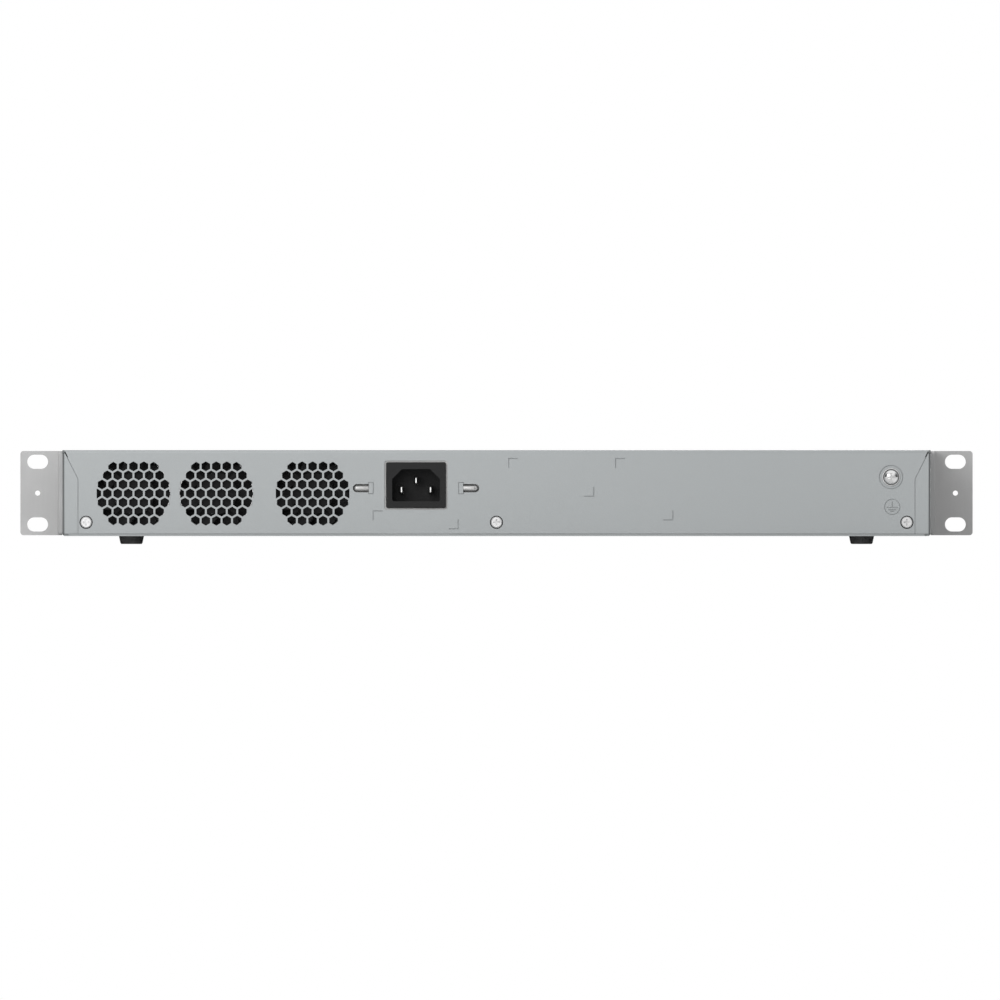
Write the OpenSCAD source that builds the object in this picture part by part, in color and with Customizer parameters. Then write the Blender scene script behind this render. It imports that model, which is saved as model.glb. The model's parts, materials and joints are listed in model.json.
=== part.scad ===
// Rack-mounted network switch, one rack unit high, with two rack ears.
// Millimetres.  X runs across the rack, Y runs from the ports (-Y) to the mains inlet (+Y), Z is up.
// The origin is on the surface that the feet stand on, below the middle of the case.
// Left and right are as seen from the ports.

/* [Case] */
// Width of the case without its ears
chassis_w = 440; // [380:1:444]
// Height of the case without its feet
chassis_h = 43.6; // [43:0.1:60]
// Depth of the case from the port panel to the rear flap
chassis_d = 220; // [216:1:320]
// Thickness of the case's sheet steel
sheet_t = 1; // [0.8:0.1:1.3]
// Inner radius of every bend in the case
bend_in_r = 0.5; // [0.3:0.1:1]
// Gap left between two folded sheets
panel_gap = 0.2; // [0.1:0.05:0.5]
// Depth of the port panel's folded lips
lip_d = 12; // [9:1:15]
// Height of the cover's side flanges, which hang inside the side walls
side_flange_h = 9; // [8:0.5:12]

/* [Rear flap] */
// Distance from the case's side to the upright part of the seam
seam_inset = 7.8; // [6:0.1:9]
// Distance from the case's side to the top of the slanted seam
seam_top_inset = 1.2; // [1:0.1:3]
// Height above the case's bottom where the seam starts to slant
seam_knee_z = 28.9; // [20:0.1:34]
// Distance from the case's side to the outer rear screws
rear_screw_inset = 12; // [11:0.1:12.5]
// Height of the rear screws above the case's bottom
rear_screw_z = 7; // [6:0.1:9]
// Diameter of the dimples that the rear screws sit in
dimple_d = 6.7; // [6.6:0.1:7.4]
// Depth of the dimples
dimple_depth = 0.8; // [0.5:0.1:1]
// Width of the engraved lines
mark_w = 0.55; // [0.3:0.05:0.8]
// Depth of the engraved lines
mark_depth = 0.5; // [0.1:0.05:0.6]

/* [Fan grilles and side vents] */
// Distances from the case's inlet side to the three fan axes
fan_insets = [36, 78, 126.8];
// Height of the fan axes above the case's bottom
fan_z = 21.6; // [21.2:0.1:22]
// Diameter of the circle that clips each grille
grille_d = 38.1; // [30:0.1:38.1]
// Hexagon hole size across its flats
hex_af = 4.35; // [3:0.05:4.6]
// Distance between neighbouring hexagon centres
hex_pitch = 5.3; // [5:0.1:7]
// Distance from the port panel to the first column of the side vents
vent_start = 74; // [66:1:90]
// Columns of hexagons in each side vent
vent_columns = 16; // [4:1:22]
// Rows of hexagons in each side vent
vent_rows = 4; // [2:1:4]

/* [Rack ears] */
// Width over both ears
rack_w = 482.6; // [480:0.1:484]
// Thickness of the ear's steel
ear_t = 2; // [1.5:0.1:2.5]
// Height of the ears
ear_h = 42.7; // [42:0.1:43.4]
// Length of the leg that is screwed to the side wall
ear_leg = 46; // [44:1:60]
// Distance across the rack between the slot centres
slot_spacing_x = 465.1; // [464:0.1:466]
// Distance up the rack between the slot centres
slot_spacing_z = 31.75; // [31:0.05:32]
// Length of a rack slot from end to end
slot_l = 10.5; // [8:0.05:12]
// Width of a rack slot
slot_w = 7.15; // [6:0.05:7.5]
// Diameter of the small hole half way up each ear
ear_hole_d = 2.6; // [2:0.1:4]

/* [Feet] */
// Height of the rubber feet
foot_h = 4; // [2:0.1:8]
// Diameter of a foot where it meets the case
foot_top_d = 12.7; // [10:0.1:20]
// Diameter of a foot at the ground
foot_bottom_d = 11.2; // [9:0.1:19]
// Distance from the case's middle to the feet
foot_x = 185; // [120:1:190]
// Distance from the case's front and back to the feet
foot_inset = 34; // [24:1:60]

/* [Mains inlet] */
// Distance from the case's inlet side to the inlet's middle
inlet_inset = 179.2; // [178:0.1:184]
// Height of the inlet's middle above the case's bottom
inlet_z = 25.8; // [24:0.1:27]
// Width of the inlet's flange
inlet_w = 30.4; // [30:0.1:31]
// Height of the inlet's flange
inlet_h = 23.3; // [22.5:0.1:24]
// Gap all round between the flange and its cut-out
inlet_gap = 0.8; // [0.3:0.1:1]
// Width of the socket that takes the plug
socket_w = 24.2; // [24:0.1:24.6]
// Height of the socket that takes the plug
socket_h = 16.3; // [16.1:0.1:16.6]
// Depth of the socket
socket_depth = 16.5; // [16:0.5:19]
// Distance from the inlet's middle to its cord-clip anchors
anchor_x = 27.95; // [27:0.05:29]
// Height of the anchors above the case's bottom
anchor_z = 24.3; // [20:0.1:28]
// Diameter of an anchor's rod
anchor_rod_d = 2.9; // [2:0.1:3.4]

/* [Ground screw] */
// Distance from the case's far side to the ground screw
ground_inset = 20; // [18:0.1:24]
// Height of the ground screw above the case's bottom
ground_z = 29.9; // [28:0.1:32]
// Diameter of the ground screw's domed head
ground_head_d = 7.7; // [6:0.1:8.4]
// Diameter of the washer below it
ground_washer_d = 8.9; // [8.6:0.1:11]

/* [Fans] */
// Width and height of a fan
fan_size = 40; // [39:0.5:40.4]
// Thickness of a fan
fan_t = 20; // [15:1:28]
// Diameter of the bore that the blades turn in
fan_bore_d = 38.2; // [36:0.1:38.6]
// Diameter of the circle that the blade tips sweep
fan_tip_d = 36.8; // [34:0.1:37.4]
// Outer diameter of the rotor's hub
fan_hub_d = 21; // [18:0.5:24]
// Diameter of the fan's shaft
fan_shaft_d = 2; // [1.5:0.1:3]
// Number of blades
fan_blades = 7; // [5:1:9]
// Distance between a fan's screw holes
fan_hole_pitch = 32; // [31:0.5:33]
// Space between the fans and the rear flap
fan_to_flap = 1.7; // [1:0.1:4]

/* [Ports] */
// Height of the boards' undersides above the case's inner floor
standoff_h = 5; // [4:0.5:6]
// Thickness of the boards
board_t = 1.6; // [1.2:0.1:2]
// Distance between neighbouring jacks in a block
jack_pitch = 14; // [13.8:0.1:15]
// Columns of jacks in a block
jack_columns = 6; // [2:1:6]
// Height of a jack block
jack_block_h = 26; // [25.5:0.1:28]
// Depth of a jack block
jack_block_d = 25.4; // [24:0.1:30]
// How far the jacks stand out of the port panel
jack_proud = 0.4; // [0.2:0.1:1]
// Left end of the first jack block along X
jack_x0 = -147.2; // [-152:0.1:-146]
// Room between the two jack blocks
jack_block_gap = 3.6; // [1:0.1:6]
// Middle of the console jack along X
console_x = -177; // [-182:1:-160]
// Room between the second jack block and the SFP cage
sfp_gap = 14; // [4:0.5:30]
// Number of SFP bays
sfp_bays = 4; // [1:1:4]
// Distance between neighbouring SFP bays
sfp_pitch = 14.3; // [14.2:0.1:16]
// Depth of the SFP cage
sfp_d = 48.7; // [46:0.1:55]
// Gap all round between a jack or cage and its cut-out in the port panel
cutout_gap = 0.4; // [0.3:0.1:0.8]
// Position of the reset button and the status lights along X
status_x = -203; // [-206:1:-198]
// Diameter of the reset button
reset_d = 3.4; // [2.5:0.1:4]
// How far the reset button travels
reset_travel = 0.6; // [0.3:0.1:0.8]

/* [Boards] */
// Left end of the main board along X
main_x0 = -212; // [-213:1:-208]
// Width of the main board
main_w = 326; // [320:1:340]
// Depth of the main board
main_d = 104; // [98:1:106]
// Left end of the power board along X
psu_x0 = -108; // [-120:1:-100]
// Width of the power board
psu_w = 166; // [160:1:168]
// Depth of the power board
psu_d = 72; // [70:1:74]
// Distance from the rear flap to the power board
psu_back = 31; // [29:1:33]

/* [Hidden] */
$fn = 48;
// Extra length by which a cut runs past the surface it opens
cut = 1;

bend_r = sheet_t + bend_in_r;
ground_washer_t = 0.6;
ground_head_h = 2.2;
rear_proud = ground_washer_t + ground_head_h;
y_front = -(chassis_d + jack_proud + rear_proud) / 2 + jack_proud;
y_back = y_front + chassis_d;
side_x = chassis_w / 2;
wall_top = chassis_h - sheet_t - panel_gap;
bend_line = chassis_h - bend_r;
flap_z0 = sheet_t + panel_gap;
seam_x = side_x - seam_inset;
seam_top_x = side_x - seam_top_inset;
cover_y0 = y_front + lip_d + panel_gap;
seam_angle = atan2(seam_top_x - seam_x, bend_line - seam_knee_z);
relief_w = 0.6;
relief_l = 3.2;
relief_rise = 0.8;

// M3 screws: shank, threaded hole and clearance hole
m3_d = 2.9;
m3_tap_d = 3;
m3_clear_d = 3.4;
m3_head_d = 5.25;
m3_head_h = 1.4;
rear_head_d = 5.8;
// M4 screws of the ears and of the ground
m4_d = 3.9;
m4_tap_d = 4;
m4_clear_d = 4.3;
m4_csk_d = 7.8;
nut_af = 7;
nut_h = 3;

// Rear screws
rear_screw_x = side_x - rear_screw_inset;
rear_screw_xs = [-rear_screw_x, 0, rear_screw_x];
dimple_wall = 1;
tab_y = y_back - sheet_t - dimple_depth - panel_gap;
tab_half = 3.8;
tab_top = rear_screw_z + 7;
rear_screw_l = 5.5;

// Fans, their bracket and screws
fan_xs = [for (d = fan_insets) side_x - d];
fan_y1 = y_back - sheet_t - fan_to_flap;
fan_y0 = fan_y1 - fan_t;
fan_hole_d = 3.4;
fan_strut_t = 2;
fan_cup_gap = 0.8;
fan_cup_l = 12;
fan_cup_wall = 1.6;
fan_tube_d = 5.2;
fan_shaft_gap = 0.05;
fan_coil_d = fan_hub_d - 2 * fan_cup_wall - 1.6;
fan_coil_l = 7;
fan_tube_l = fan_strut_t + 9.5;
fan_cup_y = fan_strut_t + fan_cup_gap;
// A blade is two plates: the first stands at the pitch, the second leans back by the camber
blade_pitch = 36;
blade_camber = 14;
blade_half = 10.2;
blade_rise = 6.5;
bracket_t = 1.2;
bracket_foot = 14;
bracket_margin = 1.5;
bracket_x0 = fan_xs[2] - fan_size / 2 - bracket_margin;
bracket_x1 = fan_xs[0] + fan_size / 2 + bracket_margin;
bracket_screw_xs = [bracket_x0 + 8, (fan_xs[1] + fan_xs[2]) / 2, bracket_x1 - 8];

// Side vents and cover side screws
vent_row_pitch = hex_pitch * sqrt(3) / 2;
grille_flat = 0.4;
vent_mid_z = 19.5;
side_screw_ys = [y_front + 62, y_front + 118, y_back - 24];
side_screw_z = chassis_h - sheet_t - 5.2;
side_csk_d = 5.4;
front_screw_inset = 7.5;
front_screw_xs = [-150, -50, 50, 150];

// Ears
ear_x = side_x;
ear_in_r = 0.5;
ear_corner_r = 1.6;
ear_z0 = (chassis_h - ear_h) / 2;
ear_screw_ys = [y_front + 18, y_front + 36];
ear_screw_dz = 12;
ear_screw_l = 5.2;

// Inlet
inlet_x = side_x - inlet_inset;
inlet_proud = 0.3;
inlet_flange_t = 1.6;
inlet_body_gap = 0.2;
socket_wall = 1.5;
socket_chamfer = 5;
socket_corner_r = 0.95;
inlet_body_l = socket_depth + 2.5;
inlet_y1 = y_back + inlet_proud;
inlet_flange_y0 = inlet_y1 - inlet_flange_t;
blade_t = 2;
blade_h = 4;
blade_tip_t = 0.6;
blade_tip_h = 2.6;
blade_taper = 1.6;
// Places of the three blades, from the middle of the socket
blades = [[-7.35, -2.3], [7.35, -2.3], [0, 2.4]];
blade_recess = 2.2;
terminal_l = 7;

// Cord-clip anchors
anchor_slot_h = 4.2;
anchor_slot_l = 8.1;
anchor_rod_l = 7.4;
anchor_plate_t = 1.2;
anchor_cup = [12, 10];
anchor_cup_l = 6;
anchor_stem = [2.4, 2];
anchor_hole_d = 0.9;
anchor_pad = [2.1, 5.4];
anchor_pad_h = 0.3;
anchor_groove = 0.3;
anchor_pad_x = anchor_x - anchor_slot_l / 2 - anchor_pad[0] / 2;
anchor_y = y_back - anchor_rod_d / 2 + 0.25;
anchor_plate_y1 = y_back - sheet_t - 0.1;

// Ground screw and earth symbol
ground_x = -(side_x - ground_inset);
ground_ring_d = 11.8;
ground_screw_l = 6;
ground_nut_d = 8.4;
ground_nut_h = 2;
earth_x = ground_x - 0.6;
earth_z = ground_z - 15.1;
earth_ring_d = 7.75;
// Bars of the earth symbol: width and height above its middle
earth_bars = [[5.5, -0.3], [3.8, -1.45], [1.9, -2.25]];
// Label corner marks: X from the case's middle, Z above its bottom, and the way that each opens
label_marks = [
    [62.7, 13, 1], [19.1, 3.4, -1],
    [-6, 39.6, 1], [-49.6, 19.9, -1],
    [-60.1, 39.6, 1], [-89.7, 7.9, -1]
];
mark_l = 5;

// Ports
board_z = sheet_t + standoff_h;
board_top = board_z + board_t;
jack_wall = 0.4;
jack_block_w = jack_pitch * jack_columns + 2.4;
jack_block_x = [for (i = [0, 1]) jack_x0 + jack_block_w / 2 + i * (jack_block_w + jack_block_gap)];
jack_mid_z = board_top + jack_block_h / 2;
jack_y0 = y_front - jack_proud;
jack_row_dz = 4.65;
jack_rows = [-jack_row_dz, jack_row_dz];
plug_w = 11.8;
plug_h = 6.8;
latch_w = 6.2;
latch_h = 1.4;
catch_w = 3.4;
catch_h = 0.8;
plug_depth = 13;
window_w = 12.6;
window_h = 9.6;
window_dz = (window_h - plug_h) / 2 - 0.35;
light_w = 2.2;
light_h = 1.3;
light_l = 3;
light_dx = 4.6;
contact_w = 0.36;
contact_pitch = 1.02;
contact_l = 7;
contact_tilt = 16;
console_w = 16;
console_h = 13.4;
console_d = 21;
console_mid_z = board_top + console_h / 2;
console_drop = (latch_h + catch_h) / 2;
sfp_wall = 0.4;
sfp_h = 9.8;
sfp_w = sfp_bays * sfp_pitch + sfp_wall;
sfp_x = jack_block_x[1] + jack_block_w / 2 + sfp_gap + sfp_w / 2;
sfp_mid_z = board_top + sfp_h / 2;
sfp_connector = [11.6, 12, 6.2];
status_z = [30, 24, 18];
status_light_d = 2.4;
status_hole_gap = 0.1;
status_light_l = 9;
reset_z = 11.2;
reset_hole_gap = 0.15;
reset_l = 6.5;
reset_proud = 0.2;
switch_body = [6.2, 4.4, 6.2];
vent_panel_x = (sfp_x + sfp_w / 2 + side_x) / 2;
front_vent_margin = 18;
front_vent_columns = floor((side_x - sfp_x - sfp_w / 2 - 2 * front_vent_margin) / hex_pitch);
front_vent_rows = 6;

// Boards
main_y0 = y_front + sheet_t + 1.2;
psu_y1 = y_back - psu_back;
psu_y0 = psu_y1 - psu_d;
main_margin = 10;
main_x1 = max(main_x0 + main_w, sfp_x + sfp_w / 2 + main_margin);
standoff_af = 5;
board_hole_d = 3.2;
// Fixing holes of the boards, inwards from each board's corners
main_hole = 6;
psu_hole = 5;
main_holes = [
    for (x = [main_x0 + main_hole, -58, 24, main_x1 - main_hole]) [x, main_y0 + main_d - main_hole],
    [main_x0 + main_hole + 18, main_y0 + 30], [main_x1 - main_hole, main_y0 + 22]
];
psu_holes = [for (x = [psu_x0 + psu_hole, psu_x0 + psu_w - psu_hole])
    for (y = [psu_y0 + psu_hole, psu_y1 - psu_hole]) [x, y]];
insulator_t = 0.4;

// Main board's parts
chip_at = [-40, main_y0 + 66];
chip_size = 27;
chip_h = 2.2;
phy_xs = [-140, -104, -10, 24];
phy_y = main_y0 + 46;

// Power board's parts
transformer_at = [psu_x0 + 58, psu_y0 + 36];
core_size = [32, 28, 26];
core_limb = 6;
core_yoke = 5;
winding_size = [19.2, 34, 15.2];
bulk_capacitor_at = [psu_x0 + psu_w - 52, psu_y0 + 22];
bulk_capacitor_d = 25;
bulk_capacitor_h = 31;
output_capacitor_d = 10;
output_capacitor_h = 20;
output_capacitor_pitch = 13;
filter_capacitor = [17, 9, 14];
power_heatsink_xs = [psu_x0 + 30, psu_x0 + 86];
power_heatsink = [2.5, 50, 28];
power_fin_d = 8;
power_fin_t = 1.2;
power_fin_pitch = 6;

// ---------------------------------------------------------------- outlines

// Block from the origin out to (w, h) with its far corner rounded
module corner_block(w, h, r) {
    square([w - r, h]);
    square([w, h - r]);
    translate([w - r, h - r]) circle(r);
}

// Two legs of one sheet, along the top and the far side, that meet in a rounded bend at (w, h)
module fold(w, h, t, r_in) {
    difference() {
        corner_block(w, h, r_in + t);
        translate([-cut, -cut]) corner_block(w - t + cut, h - t + cut, r_in);
    }
}

// Rectangle round the origin with all four corners rounded
module round_rect(w, h, r) {
    square([w - 2 * r, h], center = true);
    square([w, h - 2 * r], center = true);
    for (x = [-1, 1], z = [-1, 1]) translate([x * (w / 2 - r), z * (h / 2 - r)]) circle(r);
}

// Rectangle that stands on the X axis with its two lower corners rounded
module footed_rect(w, h, r) {
    translate([-w / 2, r]) square([w, h - r]);
    translate([-w / 2 + r, 0]) square([w - 2 * r, h]);
    for (s = [-1, 1]) translate([s * (w / 2 - r), r]) circle(r);
}

// Hexagon that stands on a corner, by its size across the flats
module hexagon(af) {
    rotate(30) circle(af / sqrt(3), $fn = 6);
}

// An XZ outline made solid from y0 to y1
module along_y(y0, y1) {
    translate([0, y1, 0]) rotate([90, 0, 0]) linear_extrude(y1 - y0) children();
}

// A YZ outline made solid from x0 to x1
module along_x(x0, x1) {
    translate([x0, 0, 0]) rotate([90, 0, 90]) linear_extrude(x1 - x0) children();
}

// Round bar along Y
module bar_y(x, z, y0, y1, d) {
    translate([x, y1, z]) rotate([90, 0, 0]) cylinder(d = d, h = y1 - y0);
}

// Round bar along X
module bar_x(y, z, x0, x1, d) {
    translate([x0, y, z]) rotate([0, 90, 0]) cylinder(d = d, h = x1 - x0);
}

// Box by its lowest and highest corners
module span(low, high) {
    translate(low) cube(high - low);
}

// Lifts a piece by the height of the feet
module on_feet() {
    translate([0, 0, foot_h]) children();
}

// Shape on both sides of the case
module both_sides() {
    children();
    mirror([1, 0, 0]) children();
}

// Direction of a wire at point i: along its neighbours, so that each ring halves its bend
function wire_way(points, i) =
    let (a = points[max(i - 1, 0)], b = points[min(i + 1, len(points) - 1)]) (b - a) / norm(b - a);

// Corners of the ring of sides corners round point i
function wire_ring(points, i, d, sides) =
    let (
        w = wire_way(points, i),
        u = cross(w, [1, 0, 0]),
        a = u / norm(u),
        b = cross(w, a)
    ) [for (k = [0 : sides - 1]) points[i] + d / 2 * (cos(360 * k / sides) * a + sin(360 * k / sides) * b)];

// Point at t of the smooth curve through the controls a, b, c and d
function bezier(a, b, c, d, t) =
    pow(1 - t, 3) * a + 3 * pow(1 - t, 2) * t * b + 3 * (1 - t) * t * t * c + t * t * t * d;

// Wire of diameter d along a smooth curve from the first control to the last, never quite along X
module wire(controls, d) {
    rings = 12;
    sides = 8;
    points = [for (i = [0 : rings]) bezier(controls[0], controls[1], controls[2], controls[3], i / rings)];
    corners = [for (i = [0 : rings]) each wire_ring(points, i, d, sides)];
    skin = [for (i = [0 : rings - 1], k = [0 : sides - 1])
        [i * sides + k, i * sides + (k + 1) % sides, (i + 1) * sides + (k + 1) % sides, (i + 1) * sides + k]];
    polyhedron(corners, concat(skin, [
        [for (k = [sides - 1 : -1 : 0]) k],
        [for (k = [0 : sides - 1]) rings * sides + k]
    ]), convexity = 4);
}

// ---------------------------------------------------------------- fasteners

// Cross recess cut into a screw head that points along +Z
module cross_recess(size, depth) {
    for (a = [0, 90]) rotate(a) translate([0, 0, -depth / 2 + cut / 2])
        cube([size, size / 4.5, depth + cut], center = true);
}

// Flat-topped screw whose head stands on Z = 0 and whose shank points down
module pan_screw(head_d, head_h, d, l) {
    difference() {
        union() {
            cylinder(d = head_d, h = head_h * 0.6);
            translate([0, 0, head_h * 0.6]) cylinder(d1 = head_d, d2 = head_d * 0.82, h = head_h * 0.4);
            translate([0, 0, -l]) cylinder(d = d, h = l);
        }
        translate([0, 0, head_h]) cross_recess(head_d * 0.55, head_h * 0.6);
    }
}

// Countersunk screw whose flat head ends at Z = 0 and whose shank points down
module flat_screw(head_d, d, l) {
    difference() {
        union() {
            translate([0, 0, -(head_d - d) / 2]) cylinder(d1 = d, d2 = head_d, h = (head_d - d) / 2);
            translate([0, 0, -l]) cylinder(d = d, h = l);
        }
        cross_recess(head_d * 0.5, 0.9);
    }
}

// Hole that takes a flat_screw, open at Z = 0
module csk_hole(head_d, hole_d, l) {
    translate([0, 0, -(head_d - hole_d) / 2]) cylinder(d1 = hole_d, d2 = head_d, h = (head_d - hole_d) / 2);
    translate([0, 0, -l]) cylinder(d = hole_d, h = l + cut);
}

// Puts a piece that points along +Z on the case's rear, pointing out along +Y
module facing_rear(x, y, z) {
    translate([x, y, z]) rotate([-90, 0, 0]) children();
}

// Puts a piece that points along +Z on the case's right side, pointing out along +X
module facing_right(x, y, z) {
    translate([x, y, z]) rotate([0, 90, 0]) children();
}

// Puts a piece that points along +Z under the case, pointing down
module facing_down(x, y, z) {
    translate([x, y, z]) rotate([180, 0, 0]) children();
}

// ---------------------------------------------------------------- case

// Hexagons of one grille, clipped by its circle
module grille_outline() {
    rows = floor((grille_d - hex_af) / 2 / vent_row_pitch);
    columns = ceil(grille_d / 2 / hex_pitch);
    intersection() {
        circle(d = grille_d);
        square([grille_d - 2 * grille_flat, grille_d], center = true);
        for (r = [-rows : rows], c = [-columns : columns]) {
            x = (c + (r % 2 == 0 ? 0.5 : 0)) * hex_pitch;
            z = r * vent_row_pitch;
            if (norm([x, z]) < grille_d / 2 + hex_af / 2 - 1.6) translate([x, z]) hexagon(hex_af);
        }
    }
}

// Hexagons of one side vent, in the YZ plane
module vent_outline() {
    for (r = [0 : vent_rows - 1], c = [0 : vent_columns - 1])
        translate([
            y_front + vent_start + (c + (r % 2) / 2) * hex_pitch,
            vent_mid_z + (r - (vent_rows - 1) / 2) * vent_row_pitch
        ]) hexagon(hex_af);
}

// Outline of the area outside the seam on the right, for the return flange or for the flap's cut-away
module outside_seam(shift, top) {
    polygon([
        [seam_x + shift, -cut], [seam_x + shift, seam_knee_z], [seam_top_x + shift, top],
        [side_x + cut, top], [side_x + cut, -cut]
    ]);
}

// Wall end and return flange at the right rear corner
module return_flange() {
    intersection() {
        translate([seam_x, y_back - 2 * bend_r, flap_z0])
            linear_extrude(bend_line - panel_gap - flap_z0)
            fold(side_x - seam_x, 2 * bend_r, sheet_t, bend_in_r);
        along_y(y_back - 3 * bend_r, y_back + cut) outside_seam(0, bend_line);
    }
}

module base_tray() {
    color("#aeb2b3") difference() {
        union() {
            along_y(y_front + sheet_t + panel_gap, y_back - bend_r) difference() {
                footed_rect(chassis_w, wall_top, bend_r);
                translate([0, sheet_t]) footed_rect(chassis_w - 2 * sheet_t, wall_top, bend_in_r);
            }
            span([-(side_x - 2 * bend_r), y_back - 2 * bend_r, 0], [side_x - 2 * bend_r, y_back, sheet_t]);
            both_sides() return_flange();
            both_sides()
                span([rear_screw_x - tab_half, tab_y - sheet_t, 0], [side_x - sheet_t, tab_y, tab_top]);
            span([-2 * tab_half, tab_y - sheet_t, 0], [2 * tab_half, tab_y, tab_top]);
            span([-(side_x - 20), y_front + lip_d - 8, sheet_t + panel_gap],
                 [side_x - 20, y_front + lip_d + 4, 2 * sheet_t + panel_gap]);
            span([-(side_x - 20), y_front + lip_d + panel_gap, sheet_t / 2],
                 [side_x - 20, y_front + lip_d + 4, 1.5 * sheet_t + panel_gap]);
        }
        span([-(side_x - 2 * bend_r), y_front, -cut],
             [side_x - 2 * bend_r, y_front + lip_d + panel_gap, sheet_t + panel_gap / 2]);
        for (x = rear_screw_xs) bar_y(x, rear_screw_z, tab_y - sheet_t - cut, tab_y + cut, m3_tap_d);
        both_sides() {
            along_x(side_x - sheet_t - cut, side_x + cut) vent_outline();
            for (y = side_screw_ys) facing_right(side_x, y, side_screw_z) csk_hole(side_csk_d, m3_clear_d, 3);
            for (y = ear_screw_ys, z = [-1, 1])
                bar_x(y, chassis_h / 2 + z * ear_screw_dz, side_x - 2 * sheet_t, side_x + cut, m4_clear_d);
        }
        for (x = front_screw_xs) translate([x, y_front + front_screw_inset, 0])
            cylinder(d = m3_tap_d, h = 4 * sheet_t);
    }
}

// Outline of every opening through the rear flap
module flap_openings() {
    for (x = fan_xs) translate([x, fan_z]) grille_outline();
    translate([inlet_x, inlet_z]) round_rect(inlet_w + 2 * inlet_gap, inlet_h + 2 * inlet_gap, 1.4);
    for (s = [-1, 1]) translate([inlet_x + s * anchor_x, anchor_z]) {
        translate([s > 0 ? -anchor_slot_l / 2 : -anchor_slot_l / 2 + anchor_slot_h / 2, -anchor_slot_h / 2])
            square([anchor_slot_l - anchor_slot_h / 2, anchor_slot_h]);
        translate([s * (anchor_slot_l - anchor_slot_h) / 2, 0]) circle(d = anchor_slot_h);
    }
    translate([ground_x, ground_z]) circle(d = m4_clear_d);
    for (x = rear_screw_xs) translate([x, rear_screw_z]) circle(d = m3_clear_d);
}

// Corner mark whose corner is at the origin; way is 1 for an upper mark and -1 for a lower one
module corner_mark(way) {
    scale([way, way]) {
        translate([-mark_l, -mark_w]) square([mark_l, mark_w]);
        translate([-mark_w, -mark_l]) square([mark_w, mark_l]);
    }
}

// Thin ring
module ring(d, w) {
    difference() {
        circle(d = d + w);
        circle(d = d - w);
    }
}

// Outline of every engraved line on the rear flap
module flap_marks() {
    for (m = label_marks) translate([m[0], m[1]]) corner_mark(m[2]);
    for (s = [-1, 1]) translate([inlet_x + s * anchor_pad_x, anchor_z]) difference() {
        square(anchor_pad + 2 * [anchor_groove, anchor_groove], center = true);
        square(anchor_pad, center = true);
    }
    translate([ground_x, ground_z]) ring(ground_ring_d, mark_w * 0.8);
    translate([earth_x, earth_z]) {
        ring(earth_ring_d, mark_w * 0.7);
        for (b = earth_bars) translate([0, b[1]]) square([b[0], mark_w * 0.8], center = true);
        translate([-mark_w * 0.4, earth_bars[0][1]]) square([mark_w * 0.8, 2.9]);
    }
}

module top_cover() {
    color("#b0b4b5") difference() {
        union() {
            intersection() {
                along_x(-side_x, side_x) translate([cover_y0, flap_z0])
                    fold(y_back - cover_y0, chassis_h - flap_z0, sheet_t, bend_in_r);
                translate([0, 0, chassis_h]) mirror([0, 0, 1]) along_y(cover_y0 - cut, y_back + cut)
                    footed_rect(chassis_w, chassis_h, 0.8);
            }
            for (x = rear_screw_xs)
                bar_y(x, rear_screw_z, y_back - sheet_t - dimple_depth, y_back - sheet_t / 2,
                      dimple_d + 2 * dimple_wall);
            both_sides() span(
                [side_x - 2 * sheet_t - panel_gap, side_screw_ys[0] - 9, chassis_h - sheet_t - side_flange_h],
                [side_x - sheet_t - panel_gap, y_back - 12, chassis_h - sheet_t / 2]);
            span([-(side_x - 12), cover_y0 - 7, chassis_h - 2 * sheet_t - panel_gap],
                 [side_x - 12, cover_y0 + 4, chassis_h - sheet_t - panel_gap]);
            span([-(side_x - 12), cover_y0, chassis_h - 1.5 * sheet_t - panel_gap],
                 [side_x - 12, cover_y0 + 4, chassis_h - sheet_t / 2]);
            for (s = [-1, 1])
                translate([inlet_x + s * anchor_pad_x, 0, anchor_z])
                along_y(y_back - sheet_t / 2, y_back + anchor_pad_h) square(anchor_pad, center = true);
        }
        both_sides() along_y(y_back - 2 * bend_r, y_back + cut) outside_seam(-panel_gap, bend_line);
        both_sides() translate([seam_top_x - relief_w / 2, y_back - sheet_t - cut, bend_line]) seam_relief();
        for (x = rear_screw_xs) bar_y(x, rear_screw_z, y_back - dimple_depth, y_back + cut, dimple_d);
        along_y(y_back - 2 * bend_r - dimple_depth, y_back + cut) flap_openings();
        along_y(y_back - mark_depth, y_back + cut) flap_marks();
        both_sides() for (y = side_screw_ys)
            bar_x(y, side_screw_z, side_x - 3 * sheet_t, side_x, m3_tap_d);
    }
}

// Wider slot at the top of the slanted seam, where the rear flap and the top bend meet
module seam_relief() {
    rotate([0, seam_angle, 0]) translate([-relief_w / 2, 0, relief_rise - relief_l])
        cube([relief_w, sheet_t + 2 * cut, relief_l]);
}

// Windows of one jack block in the port panel or in its shield; each opening is w wide and h high
module jack_windows(w, h) {
    for (c = [0 : jack_columns - 1], r = jack_rows)
        translate([(c - (jack_columns - 1) / 2) * jack_pitch, r + sign(r) * window_dz])
            square([w, h], center = true);
}

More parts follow.
